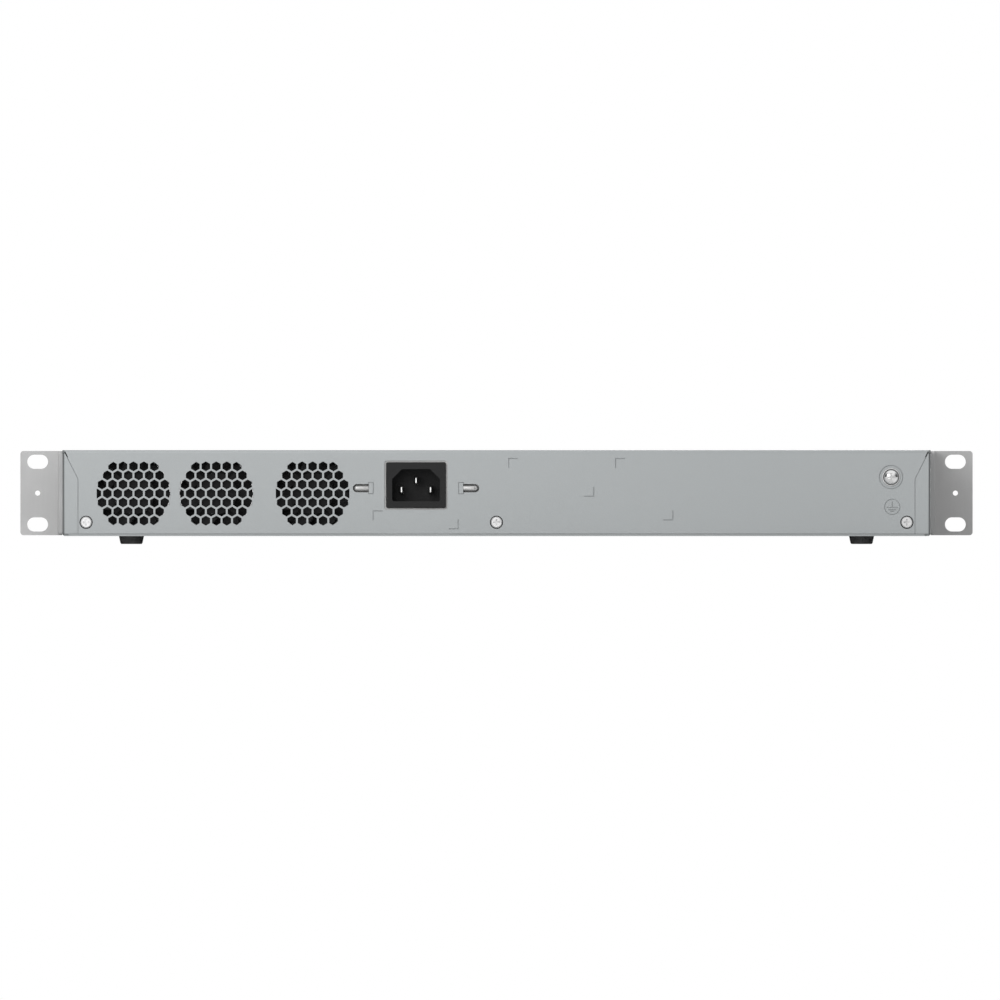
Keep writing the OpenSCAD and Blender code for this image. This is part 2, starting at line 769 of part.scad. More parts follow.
module front_panel() {
    color("#aeb2b3") difference() {
        union() {
            along_y(y_front, y_front + sheet_t)
                translate([-side_x, bend_r]) square([chassis_w, chassis_h - 2 * bend_r]);
            along_x(-side_x, side_x) translate([y_front + lip_d, chassis_h / 2]) mirror([1, 0])
                fold(lip_d, chassis_h / 2, sheet_t, bend_in_r);
            along_x(-(side_x - 2 * bend_r - panel_gap), side_x - 2 * bend_r - panel_gap)
                translate([y_front + lip_d, chassis_h / 2]) mirror([1, 0]) mirror([0, 1])
                fold(lip_d, chassis_h / 2, sheet_t, bend_in_r);
        }
        along_y(y_front - cut, y_front + sheet_t + cut) {
            for (x = jack_block_x) translate([x, jack_mid_z])
                square([jack_block_w + 2 * cutout_gap, jack_block_h + 2 * cutout_gap], center = true);
            translate([console_x, console_mid_z])
                square([console_w + 2 * cutout_gap, console_h + 2 * cutout_gap], center = true);
            translate([sfp_x, sfp_mid_z])
                square([sfp_w + 2 * cutout_gap, sfp_h + 2 * cutout_gap], center = true);
            for (z = status_z) translate([status_x, z]) circle(d = status_light_d + 2 * status_hole_gap);
            translate([status_x, reset_z]) circle(d = reset_d + 2 * reset_hole_gap);
            translate([vent_panel_x, chassis_h / 2]) front_vent_outline();
        }
        for (x = front_screw_xs)
            facing_down(x, y_front + front_screw_inset, 0) csk_hole(side_csk_d, m3_clear_d, 3);
    }
}

// Hexagons of the intake vent in the port panel
module front_vent_outline() {
    for (r = [0 : front_vent_rows - 1], c = [0 : front_vent_columns - 1])
        translate([
            (c - (front_vent_columns - 1) / 2 + (r % 2 - 0.5) / 2) * hex_pitch,
            (r - (front_vent_rows - 1) / 2) * vent_row_pitch
        ]) hexagon(hex_af);
}

// Rack ear on the right side of the case
module ear() {
    flange_w = rack_w / 2 - ear_x;
    ear_mid_z = chassis_h / 2;
    difference() {
        intersection() {
            translate([ear_x + flange_w, y_front + ear_leg, ear_z0]) rotate(180) linear_extrude(ear_h)
                fold(flange_w, ear_leg, ear_t, ear_in_r);
            along_y(y_front - cut, y_front + ear_leg + cut)
                translate([ear_x + flange_w / 2 - ear_corner_r, ear_mid_z])
                round_rect(flange_w + 2 * ear_corner_r, ear_h, ear_corner_r);
            along_x(ear_x - cut, ear_x + flange_w + cut)
                translate([y_front + ear_leg / 2 - ear_corner_r, ear_mid_z])
                round_rect(ear_leg + 2 * ear_corner_r, ear_h, ear_corner_r);
        }
        along_y(y_front - cut, y_front + ear_t + cut) {
            for (z = [-1, 1]) translate([slot_spacing_x / 2, ear_mid_z + z * slot_spacing_z / 2]) {
                square([slot_l - slot_w, slot_w], center = true);
                for (s = [-1, 1]) translate([s * (slot_l - slot_w) / 2, 0]) circle(d = slot_w);
            }
            translate([slot_spacing_x / 2, ear_mid_z]) circle(d = ear_hole_d);
        }
        for (y = ear_screw_ys, z = [-1, 1])
            facing_right(ear_x + ear_t, y, ear_mid_z + z * ear_screw_dz) csk_hole(m4_csk_d, m4_clear_d, 4);
    }
}

module ear_right() color("#b4b4b3") ear();

module ear_left() color("#b4b4b3") mirror([1, 0, 0]) ear();

module ear_screws() {
    color("#c8c8c8") both_sides() for (y = ear_screw_ys, z = [-1, 1])
        facing_right(ear_x + ear_t, y, chassis_h / 2 + z * ear_screw_dz)
            flat_screw(m4_csk_d - 0.3, m4_d, ear_t + ear_screw_l);
}

module clinch_nuts() {
    color("#c4c2ba") {
        both_sides() for (y = ear_screw_ys, z = [-1, 1])
            facing_right(side_x - sheet_t - nut_h, y, chassis_h / 2 + z * ear_screw_dz) nut(nut_af, nut_h);
        facing_rear(ground_x, y_back - sheet_t - ground_nut_h, ground_z) nut(ground_nut_d, ground_nut_h);
    }
}

module nut(af, h) {
    difference() {
        linear_extrude(h) hexagon(af);
        translate([0, 0, -cut]) cylinder(d = m4_tap_d, h = h + 2 * cut);
    }
}

module rear_screws() {
    color("#dcdcdc") for (x = rear_screw_xs)
        facing_rear(x, y_back - dimple_depth, rear_screw_z)
            pan_screw(rear_head_d, m3_head_h, m3_d, rear_screw_l);
}

module side_screws() {
    color("#c8c8c8") both_sides() for (y = side_screw_ys)
        facing_right(side_x, y, side_screw_z) flat_screw(side_csk_d - 0.3, m3_d, 5);
}

module front_screws() {
    color("#c8c8c8") for (x = front_screw_xs)
        facing_down(x, y_front + front_screw_inset, 0) flat_screw(side_csk_d - 0.3, m3_d, 4);
}

module ground_screw() {
    r = (pow(ground_head_d / 2, 2) + pow(ground_head_h, 2)) / (2 * ground_head_h);
    color("#e6e6e6") facing_rear(ground_x, y_back + ground_washer_t, ground_z) difference() {
        union() {
            intersection() {
                translate([0, 0, ground_head_h - r]) sphere(r);
                cylinder(d = ground_head_d + 2, h = ground_head_h + cut);
            }
            translate([0, 0, -ground_washer_t - ground_screw_l])
                cylinder(d = m4_d, h = ground_washer_t + ground_screw_l + 0.2);
        }
        translate([0, 0, ground_head_h]) cross_recess(4.2, 1.3);
    }
}

module ground_washer() {
    color("#d0d0d0") facing_rear(ground_x, y_back, ground_z) difference() {
        cylinder(d = ground_washer_d, h = ground_washer_t);
        translate([0, 0, -cut]) cylinder(d = m4_clear_d, h = ground_washer_t + 2 * cut);
    }
}

// Rubber foot; sx and sy choose the corner of the case
module foot(sx, sy) {
    y = sy < 0 ? y_front + foot_inset : y_back - foot_inset;
    edge = 0.5;
    color("#2b2b2b") translate([sx * foot_x, y, 0]) rotate_extrude() polygon([
        [0, 0], [foot_bottom_d / 2 - edge, 0], [foot_bottom_d / 2, edge],
        [foot_top_d / 2, foot_h], [0, foot_h]
    ]);
}

// ---------------------------------------------------------------- fans

module fan_bracket() {
    color("#b9bcbc") difference() {
        union() {
            span([bracket_x0, fan_y0 - bracket_t, sheet_t], [bracket_x1, fan_y0, fan_z + fan_size / 2]);
            span([bracket_x0, fan_y0 - bracket_foot, sheet_t], [bracket_x1, fan_y0, sheet_t + bracket_t]);
        }
        for (x = fan_xs) {
            bar_y(x, fan_z, fan_y0 - bracket_t - cut, fan_y0 + cut, fan_bore_d - 1);
            for (sx = [-1, 1], sz = [-1, 1])
                bar_y(x + sx * fan_hole_pitch / 2, fan_z + sz * fan_hole_pitch / 2,
                      fan_y0 - bracket_t - cut, fan_y0 + cut, m3_clear_d);
        }
        for (x = bracket_screw_xs)
            translate([x, fan_y0 - bracket_foot / 2, 0]) cylinder(d = m3_clear_d, h = 9);
    }
}

// Frame, struts, motor base and bearing tube of fan i
module fan_frame(i) {
    color("#1f1f20") translate([fan_xs[i], fan_y1, fan_z]) rotate([90, 0, 0]) difference() {
        union() {
            linear_extrude(fan_t) difference() {
                round_rect(fan_size, fan_size, 2.5);
                circle(d = fan_bore_d);
            }
            for (a = [45 : 90 : 315]) rotate(a) translate([fan_hub_d / 2 - 1, -1, 0])
                cube([(fan_bore_d - fan_hub_d) / 2 + 1.8, 2, fan_strut_t]);
            cylinder(d = fan_hub_d, h = fan_strut_t);
            cylinder(d = fan_tube_d, h = fan_tube_l);
        }
        translate([0, 0, fan_strut_t]) cylinder(d = fan_shaft_d + 2 * fan_shaft_gap, h = fan_t);
        for (x = [-1, 1], z = [-1, 1]) translate([x, z, 0] * fan_hole_pitch / 2)
            translate([0, 0, -cut]) cylinder(d = fan_hole_d, h = fan_t + 2 * cut);
    }
}

// Coil and poles of fan i, pressed on the bearing tube
module fan_stator(i) {
    color("#8a5a32") translate([fan_xs[i], fan_y1 - fan_strut_t - 1, fan_z]) rotate([90, 0, 0])
        linear_extrude(fan_coil_l) difference() {
            union() {
                circle(d = fan_coil_d * 0.55);
                for (a = [0, 90]) rotate(a) square([fan_coil_d * 0.9, fan_coil_d * 0.28], center = true);
                for (a = [0 : 90 : 270]) rotate(a) intersection() {
                    ring(fan_coil_d - 1.5, 1.5);
                    translate([fan_coil_d / 2, 0]) square([fan_coil_d / 2, fan_coil_d * 0.6], center = true);
                }
            }
            circle(d = fan_tube_d);
        }
}

// Hub, shaft and blades of fan i; the hub is a cup that opens towards the motor base
module fan_rotor(i) {
    color("#232324") translate([fan_xs[i], fan_y1, fan_z]) rotate([90, 0, 0]) {
        difference() {
            translate([0, 0, fan_cup_y]) cylinder(d = fan_hub_d, h = fan_cup_l);
            translate([0, 0, fan_cup_y - cut])
                cylinder(d = fan_hub_d - 2 * fan_cup_wall, h = fan_cup_l - fan_cup_wall + cut);
        }
        translate([0, 0, fan_strut_t + 0.5])
            cylinder(d = fan_shaft_d, h = fan_cup_y + fan_cup_l - fan_strut_t - 1);
        intersection() {
            translate([0, 0, fan_cup_y - 0.2]) difference() {
                cylinder(d = fan_tip_d, h = fan_cup_l + 2);
                translate([0, 0, -cut]) cylinder(d = fan_hub_d - 0.6, h = fan_cup_l + 2 + 2 * cut);
            }
            for (b = [0 : fan_blades - 1]) rotate(b * 360 / fan_blades) fan_blade();
        }
    }
}

// One blade, as a slanted plate bent once along its length
module fan_blade() {
    reach = (fan_tip_d - fan_hub_d) / 2 + 3;
    translate([fan_hub_d / 2 - 1, 0, fan_cup_y + blade_rise]) rotate([blade_pitch, 0, 0]) {
        translate([0, -blade_half, -0.5]) cube([reach, blade_half + 0.2, 1]);
        rotate([-blade_camber, 0, 0]) translate([0, -0.1, -0.5]) cube([reach, blade_half, 1]);
    }
}

module fan_screws() {
    color("#c8c8c8") for (x = fan_xs, sx = [-1, 1], sz = [-1, 1])
        translate([x + sx * fan_hole_pitch / 2, fan_y0 - bracket_t, fan_z + sz * fan_hole_pitch / 2])
            rotate([90, 0, 0]) pan_screw(m3_head_d, m3_head_h, m3_d, 9);
}

// Leads from each fan to the header on the main board; they run side by side and never cross
module fan_leads() {
    color("#c02a24") for (i = [0 : 2]) {
        x = fan_xs[i] - fan_size / 2 + 2.5;
        wire([
            [x, fan_y0 - bracket_t - 0.2, fan_z],
            [x, fan_y0 - 50, fan_z - 2],
            [main_x1 - 21 - 5 * i, main_y0 + main_d - 10, board_top + 26],
            [main_x1 - 21 - 5 * i, main_y0 + main_d - 10, board_top + 7.5]
        ], 1.8);
    }
}

// ---------------------------------------------------------------- inlet

// Outline of the socket that takes the plug
module socket_outline() {
    intersection() {
        round_rect(socket_w, socket_h, socket_corner_r);
        polygon([
            [-socket_w / 2, -socket_h / 2], [socket_w / 2, -socket_h / 2],
            [socket_w / 2, socket_h / 2 - socket_chamfer], [socket_w / 2 - socket_chamfer, socket_h / 2],
            [socket_chamfer - socket_w / 2, socket_h / 2], [-socket_w / 2, socket_h / 2 - socket_chamfer]
        ]);
    }
}

module inlet_housing() {
    color("#333333") translate([inlet_x, 0, inlet_z]) difference() {
        union() {
            along_y(inlet_flange_y0, inlet_y1) round_rect(inlet_w, inlet_h, 0.9);
            along_y(inlet_y1 - inlet_body_l, inlet_flange_y0)
                round_rect(socket_w + 2 * socket_wall, socket_h + 2 * socket_wall, 1.2);
        }
        along_y(inlet_y1 - socket_depth, inlet_y1 + cut) socket_outline();
        for (b = blades) translate([b[0], 0, b[1]])
            along_y(inlet_y1 - inlet_body_l - cut, inlet_y1) square([blade_t, blade_h], center = true);
    }
}

module inlet_blades() {
    y1 = inlet_y1 - blade_recess;
    y0 = inlet_y1 - inlet_body_l - terminal_l;
    color("#dddddd") for (b = blades) translate([inlet_x + b[0], 0, inlet_z + b[1]]) intersection() {
        along_x(-blade_t / 2, blade_t / 2) polygon([
            [y0, -blade_h / 2], [y1 - blade_taper, -blade_h / 2], [y1, -blade_tip_h / 2],
            [y1, blade_tip_h / 2], [y1 - blade_taper, blade_h / 2], [y0, blade_h / 2]
        ]);
        translate([0, 0, -blade_h]) linear_extrude(2 * blade_h) polygon([
            [-blade_t / 2, y0], [blade_t / 2, y0], [blade_t / 2, y1 - blade_taper], [blade_tip_t / 2, y1],
            [-blade_tip_t / 2, y1], [-blade_t / 2, y1 - blade_taper]
        ]);
    }
}

module inlet_bracket() {
    half = socket_w / 2 + socket_wall + 5;
    y1 = inlet_flange_y0;
    color("#b9bcbc") difference() {
        union() {
            span([inlet_x - half, y1 - bracket_t, sheet_t], [inlet_x + half, y1, chassis_h - sheet_t - 2.5]);
            span([inlet_x - half, y1 - bracket_foot, sheet_t], [inlet_x + half, y1, sheet_t + bracket_t]);
        }
        translate([inlet_x, 0, inlet_z]) along_y(y1 - bracket_t - cut, y1 + cut)
            square([socket_w, socket_h] + 2 * [1, 1] * (socket_wall + inlet_body_gap), center = true);
        for (s = [-1, 1]) translate([inlet_x + s * (half - 5), y1 - bracket_foot / 2, 0])
            cylinder(d = m3_clear_d, h = 9);
    }
}

module bracket_screws() {
    half = socket_w / 2 + socket_wall + 5;
    color("#c8c8c8") {
        for (s = [-1, 1])
            translate([inlet_x + s * (half - 5), inlet_flange_y0 - bracket_foot / 2, sheet_t + bracket_t])
            pan_screw(m3_head_d, m3_head_h, m3_d, bracket_t);
        for (x = bracket_screw_xs) translate([x, fan_y0 - bracket_foot / 2, sheet_t + bracket_t])
            pan_screw(m3_head_d, m3_head_h, m3_d, bracket_t);
    }
}

// Rod with a domed outer end in each slot, on a stem in a channel that is welded behind the flap
module cord_anchors() {
    color("#c9c9c9") for (s = [-1, 1]) translate([inlet_x, 0, 0]) scale([s, 1, 1]) {
        x0 = anchor_x - anchor_slot_l / 2 + 0.1;
        x1 = x0 + anchor_rod_l - anchor_rod_d / 2;
        low = [anchor_x + 4 - anchor_cup[0], anchor_plate_y1 - anchor_cup_l, anchor_z - anchor_cup[1] / 2];
        difference() {
            union() {
                bar_x(anchor_y, anchor_z, x0, x1, anchor_rod_d);
                translate([x1, anchor_y, anchor_z]) sphere(d = anchor_rod_d);
            }
            if (s < 0) bar_y(x1 - 0.1, anchor_z, anchor_y, y_back + cut, anchor_hole_d);
        }
        span([x0, low[1] + anchor_plate_t / 2, anchor_z - anchor_stem[1] / 2],
             [x0 + anchor_stem[0], anchor_y, anchor_z + anchor_stem[1] / 2]);
        difference() {
            span(low, [anchor_x + 4, anchor_plate_y1, anchor_z + anchor_cup[1] / 2]);
            span(low + [1, 1, 1] * anchor_plate_t,
                 [anchor_x + 4 + cut, anchor_plate_y1 + cut, anchor_z + anchor_cup[1] / 2 - anchor_plate_t]);
        }
    }
}

// ---------------------------------------------------------------- boards

module board(low, size, holes) {
    difference() {
        translate([low[0], low[1], board_z]) cube([size[0], size[1], board_t]);
        for (p = holes)
            translate([p[0], p[1], board_z - cut]) cylinder(d = board_hole_d, h = board_t + 2 * cut);
    }
}

module main_board() color("#1f5a3a") board([main_x0, main_y0], [main_x1 - main_x0, main_d], main_holes);

module psu_board() color("#2f6b3f") board([psu_x0, psu_y0], [psu_w, psu_d], psu_holes);

module psu_insulator() {
    color("#e8e6d8") difference() {
        span([psu_x0 - 2, psu_y0 - 2, sheet_t], [psu_x0 + psu_w + 2, psu_y1 + 2, sheet_t + insulator_t]);
        for (p = psu_holes) translate([p[0], p[1], 0]) cylinder(d = standoff_af + 3, h = 9);
    }
}

module board_standoffs() {
    color("#c9b26a") for (p = concat(main_holes, psu_holes)) translate([p[0], p[1], sheet_t]) difference() {
        linear_extrude(standoff_h) hexagon(standoff_af);
        translate([0, 0, -cut]) cylinder(d = m3_tap_d, h = standoff_h + 2 * cut);
    }
}

module board_screws() {
    color("#c8c8c8") for (p = concat(main_holes, psu_holes))
        translate([p[0], p[1], board_top]) pan_screw(m3_head_d, m3_head_h, m3_d, board_t + 3.5);
}

// Outline of one jack's opening: plug, latch and catch, with the latch towards +Z when way is 1
module plug_outline(way) {
    scale([1, way]) {
        square([plug_w, plug_h], center = true);
        translate([-latch_w / 2, 0]) square([latch_w, plug_h / 2 + latch_h]);
        translate([-catch_w / 2, 0]) square([catch_w, plug_h / 2 + latch_h + catch_h]);
    }
}

// Sets its children at each jack of a block, in the XZ plane; $way is 1 where the latch is up
module each_jack() {
    for (c = [0 : jack_columns - 1], r = jack_rows) {
        $way = sign(r);
        translate([(c - (jack_columns - 1) / 2) * jack_pitch, 0, r]) children();
    }
}

// Metal shield of jack block i
module jack_shield(i) {
    color("#c4c6c8") translate([jack_block_x[i], 0, jack_mid_z]) difference() {
        along_y(jack_y0, jack_y0 + jack_block_d) square([jack_block_w, jack_block_h], center = true);
        along_y(jack_y0 + jack_wall, jack_y0 + jack_block_d + cut)
            square([jack_block_w - 2 * jack_wall, jack_block_h - 2 * jack_wall], center = true);
        along_y(jack_y0 - cut, jack_y0 + jack_wall + cut) jack_windows(window_w, window_h);
    }
}

// Plastic body of jack block i, with a socket for each plug and a pocket for each light
module jack_insert(i) {
    y0 = jack_y0 + jack_wall;
    color("#232426") translate([jack_block_x[i], 0, jack_mid_z]) difference() {
        along_y(y0, jack_y0 + jack_block_d)
            square([jack_block_w - 2 * jack_wall, jack_block_h - 2 * jack_wall], center = true);
        each_jack() {
            along_y(y0 - cut, y0 + plug_depth) plug_outline($way);
            for (s = [-1, 1]) translate([s * light_dx, 0, $way * (plug_h / 2 + 0.3 + light_h / 2)])
                along_y(y0 - cut, y0 + light_l) square([light_w, light_h], center = true);
        }
    }
}

// Spring contacts of every jack in both blocks and of the console jack
module jack_contacts() {
    color("#c8a040") {
        for (x = jack_block_x) translate([x, 0, jack_mid_z]) each_jack() plug_contacts($way);
        translate([console_x, 0, console_mid_z - console_drop]) plug_contacts(1);
    }
}

// Eight contacts that rise from the face opposite the latch towards the back of the socket
module plug_contacts(way) {
    for (k = [0 : 7])
        translate([(k - 3.5) * contact_pitch, jack_y0 + jack_wall + 4, -way * (plug_h / 2 - 0.35)])
            rotate([way * contact_tilt, 0, 0])
            translate([-contact_w / 2, 0, -0.15]) cube([contact_w, contact_l, 0.3]);
}

// Light windows beside every latch
module jack_lights() {
    color("#b9d4a0") for (x = jack_block_x) translate([x, 0, jack_mid_z]) each_jack()
        for (s = [-1, 1]) translate([s * light_dx, 0, $way * (plug_h / 2 + 0.3 + light_h / 2)])
            along_y(jack_y0 + jack_wall, jack_y0 + jack_wall + light_l)
            square([light_w, light_h], center = true);
}

module console_shield() {
    color("#c4c6c8") translate([console_x, 0, console_mid_z]) difference() {
        along_y(jack_y0, jack_y0 + console_d) square([console_w, console_h], center = true);
        along_y(jack_y0 + jack_wall, jack_y0 + console_d + cut)
            square([console_w - 2 * jack_wall, console_h - 2 * jack_wall], center = true);
        along_y(jack_y0 - cut, jack_y0 + jack_wall + cut)
            square([window_w + 0.6, window_h + 0.6], center = true);
    }
}

// Plastic body of the console jack
module console_insert() {
    y0 = jack_y0 + jack_wall;
    color("#26486e") translate([console_x, 0, console_mid_z]) difference() {
        along_y(y0, jack_y0 + console_d)
            square([console_w - 2 * jack_wall, console_h - 2 * jack_wall], center = true);
        translate([0, 0, -console_drop]) along_y(y0 - cut, y0 + plug_depth) plug_outline(1);
    }
}

module sfp_cage() {
    color("#c4c6c8") translate([sfp_x, 0, sfp_mid_z]) difference() {
        along_y(jack_y0, jack_y0 + sfp_d) square([sfp_w, sfp_h], center = true);
        for (b = [0 : sfp_bays - 1]) translate([(b - (sfp_bays - 1) / 2) * sfp_pitch, 0, 0])
            along_y(jack_y0 - cut, jack_y0 + sfp_d - sfp_wall)
                square([sfp_pitch - sfp_wall, sfp_h - 2 * sfp_wall], center = true);
    }
}

module sfp_connectors() {
    color("#232426") for (b = [0 : sfp_bays - 1])
        translate([
            sfp_x + (b - (sfp_bays - 1) / 2) * sfp_pitch - sfp_connector[0] / 2,
            jack_y0 + sfp_d - sfp_wall - sfp_connector[1],
            board_top + sfp_wall
        ]) difference() {
            cube(sfp_connector);
            translate([1, -cut, 2.2]) cube([sfp_connector[0] - 2, 6 + cut, 1.6]);
        }
}

module status_lights() {
    color("#b9d4a0") for (z = status_z) {
        bar_y(status_x, z, y_front - 0.2, y_front + status_light_l, status_light_d);
    }
}

module reset_button() {
    color("#3a3a3c") {
        bar_y(status_x, reset_z, y_front - reset_proud, y_front + reset_l, reset_d);
        bar_y(status_x, reset_z, y_front + sheet_t + reset_travel + 0.2, y_front + reset_l - 1,
              reset_d + 1.6);
    }
}

module reset_switch() {
    y0 = y_front + reset_l + reset_travel + 0.1;
    color("#1d1d1e") translate([status_x, 0, reset_z])
        span([-switch_body[0] / 2, y0, board_top - reset_z],
             [switch_body[0] / 2, y0 + switch_body[1], switch_body[2] / 2]);
}

// Square package on the board, by its middle, size and height
module package(x, y, w, d, h) {
    translate([x - w / 2, y - d / 2, board_top]) cube([w, d, h]);
}

module switch_chip() color("#1b1b1d") package(chip_at[0], chip_at[1], chip_size, chip_size, chip_h);

// Finned heatsink on the switch chip
module switch_heatsink() {
    base = 40;
    fins = 12;
    color("#9da0a3") translate([chip_at[0] - base / 2, chip_at[1] - base / 2, board_top + chip_h]) {
        cube([base, base, 2.5]);
        for (i = [0 : fins - 1]) translate([i * (base - 1) / (fins - 1), 0, 2.5]) cube([1, base, 13]);
    }
}

module phy_chips() color("#1b1b1d") for (x = phy_xs) package(x, phy_y, 14, 14, 1.4);

// Isolating magnetics between the transceivers and the jacks
module magnetics() {
    color("#242426") for (x = jack_block_x, k = [-1, 0, 1])
        package(x + k * 29, main_y0 + jack_block_d + 7, 24, 9, 4.6);
}

// Small parts of the main board: coils, capacitors and plug headers
module board_parts() {
    color("#3b3c40") {
        for (k = [0 : 3]) package(60 + 14 * (k % 2), main_y0 + 66 + 14 * floor(k / 2), 10, 10, 5);
        for (k = [0 : 4]) translate([100, main_y0 + 54 + 9 * k, board_top]) cylinder(d = 6.3, h = 7.7);
        package(main_x1 - 26, main_y0 + main_d - 10, 20, 5, 7);
        package(20, main_y0 + main_d - 15, 16, 6, 8);
        package(-160, main_y0 + 74, 18, 10, 1.2);
        package(-132, main_y0 + 74, 18, 10, 1.2);
        package(-100, main_y0 + 78, 8, 6, 2);
    }
}

// Core and winding of the transformer
module transformer() {
    translate([transformer_at[0], transformer_at[1], board_top]) {
        color("#4a4a4c") difference() {
            translate([-core_size[0] / 2, -core_size[1] / 2, 0]) cube(core_size);
            translate([core_limb - core_size[0] / 2, -core_size[1], core_yoke])
                cube([core_size[0] - 2 * core_limb, 2 * core_size[1], core_size[2] - 2 * core_yoke]);
        }
        color("#c9a227") translate([-winding_size[0] / 2, -winding_size[1] / 2, core_yoke + 0.4])
            cube(winding_size);
    }
}

module psu_capacitors() {
    color("#26262a") {
        translate([bulk_capacitor_at[0], bulk_capacitor_at[1], board_top])
            cylinder(d = bulk_capacitor_d, h = bulk_capacitor_h);
        for (k = [0 : 3]) translate([psu_x0 + 14, psu_y0 + 14 + output_capacitor_pitch * k, board_top])
            cylinder(d = output_capacitor_d, h = output_capacitor_h);
        for (k = [0, 1])
            translate([psu_x0 + psu_w - 26, psu_y0 + 12 + 24 * k, board_top]) cube(filter_capacitor);
    }
}

// Two plates with fins that cool the power transistors
module psu_heatsinks() {
    color("#a9abad") for (x = power_heatsink_xs) translate([x, psu_y0 + 10, board_top]) {
        cube(power_heatsink);
        for (z = [power_fin_pitch : power_fin_pitch : 4 * power_fin_pitch])
            translate([0, 0, z]) cube([power_fin_d, power_heatsink[1], power_fin_t]);
    }
}

// Leads from the inlet's terminals down to the power board
module mains_leads() {
    y0 = inlet_y1 - inlet_body_l - terminal_l;
    color("#6b4a2a") for (b = blades) {
        x = inlet_x + b[0];
        z = inlet_z + b[1];
        wire([
            [x, y0 - 0.1, z],
            [x, y0 - 14, z],
            [x, psu_y1 - 5, z - 4],
            [x, psu_y1 - 5 + (b[1] > 0 ? 2 : 0), board_top + 0.2]
        ], 2.2);
    }
}

// ---------------------------------------------------------------- assembly

on_feet() base_tray();
on_feet() top_cover();
on_feet() front_panel();
on_feet() ear_left();
on_feet() ear_right();
on_feet() ear_screws();
on_feet() clinch_nuts();
on_feet() rear_screws();
on_feet() side_screws();
on_feet() front_screws();
on_feet() ground_screw();
on_feet() ground_washer();
foot(-1, -1);  // foot_front_left
foot(1, -1);  // foot_front_right
foot(-1, 1);  // foot_rear_left
foot(1, 1);  // foot_rear_right
on_feet() fan_bracket();
on_feet() fan_frame(0);  // fan_frame_1
on_feet() fan_frame(1);  // fan_frame_2
on_feet() fan_frame(2);  // fan_frame_3
on_feet() fan_stator(0);  // fan_stator_1
on_feet() fan_stator(1);  // fan_stator_2
on_feet() fan_stator(2);  // fan_stator_3
on_feet() fan_rotor(0);  // fan_rotor_1
on_feet() fan_rotor(1);  // fan_rotor_2
on_feet() fan_rotor(2);  // fan_rotor_3
on_feet() fan_screws();
on_feet() fan_leads();
on_feet() inlet_housing();
on_feet() inlet_blades();
on_feet() inlet_bracket();
on_feet() cord_anchors();
on_feet() main_board();
on_feet() board_standoffs();
on_feet() board_screws();
on_feet() bracket_screws();
on_feet() jack_shield(0);  // jack_shield_1
on_feet() jack_shield(1);  // jack_shield_2
on_feet() jack_insert(0);  // jack_insert_1
on_feet() jack_insert(1);  // jack_insert_2
on_feet() jack_contacts();
on_feet() jack_lights();
on_feet() console_shield();
on_feet() console_insert();
on_feet() sfp_cage();
on_feet() sfp_connectors();
on_feet() status_lights();
on_feet() reset_button();
on_feet() reset_switch();
on_feet() switch_chip();
on_feet() switch_heatsink();
on_feet() phy_chips();
on_feet() magnetics();
on_feet() board_parts();
on_feet() psu_board();
on_feet() psu_insulator();
on_feet() transformer();
on_feet() psu_capacitors();
on_feet() psu_heatsinks();
on_feet() mains_leads();
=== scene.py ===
"""Looks of the rackmount network switch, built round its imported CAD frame.  Metres throughout."""

import json
import math

import bmesh
import bpy
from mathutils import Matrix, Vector


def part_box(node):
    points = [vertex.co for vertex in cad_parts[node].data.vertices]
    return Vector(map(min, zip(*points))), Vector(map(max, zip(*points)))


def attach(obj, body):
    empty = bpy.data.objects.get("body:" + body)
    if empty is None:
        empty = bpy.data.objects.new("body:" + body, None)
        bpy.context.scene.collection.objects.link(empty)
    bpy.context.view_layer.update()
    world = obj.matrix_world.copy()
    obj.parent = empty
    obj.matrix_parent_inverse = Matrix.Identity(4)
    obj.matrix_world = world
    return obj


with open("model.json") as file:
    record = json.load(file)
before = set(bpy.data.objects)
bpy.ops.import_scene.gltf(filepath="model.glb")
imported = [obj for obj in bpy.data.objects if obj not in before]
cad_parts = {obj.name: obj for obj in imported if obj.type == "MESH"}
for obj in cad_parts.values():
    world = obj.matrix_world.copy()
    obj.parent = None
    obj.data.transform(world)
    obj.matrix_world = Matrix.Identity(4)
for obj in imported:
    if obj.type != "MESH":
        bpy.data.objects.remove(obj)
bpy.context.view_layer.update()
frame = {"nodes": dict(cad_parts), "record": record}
nodes = frame["nodes"]

MM = 0.001

# Camera: level, square on to the rear flap, and parallel, so that nothing shrinks with distance
VIEW_WIDTH = 506.8 * MM
VIEW_SIDE_SHIFT = -1.77 * MM
VIEW_RISE = 22.3 * MM
VIEW_DISTANCE = 2.2

# Light tent: strength below, overhead and towards the sides, and where the sides begin and end
TENT_BOTTOM = 0.36
TENT_TOP = 1.28
TENT_SIDE = 0.15
TENT_SIDE_START = 0.55
TENT_SIDE_END = 0.95

# Softbox on the rear side: its place, the point that it faces, its width and height, and its power.
# The one on the port side is the same, turned half round.
KEY_PLACE = (0.55, 1.3, 0.45)
KEY_AIM = (0, 0.1, 0.02)
KEY_SIZE = (1.0, 0.9)
KEY_POWER = 9.4

FLOOR_SIZE = 6

# Painted shade: the paint's colour is darkened along the case's upright corner bends, where shade falls.  The
# band is measured inwards from the case's side, and a surface that faces sideways is left as it is.
PAINT = (0.325, 0.342, 0.347)
CASE_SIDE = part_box("base_tray")[1][0]
FOLD_SHADE = 0.36
FOLD_START = 1.1 * MM
FOLD_FULL = 0.8 * MM
SIDEWAYS_START = 0.93
SIDEWAYS_FULL = 0.99
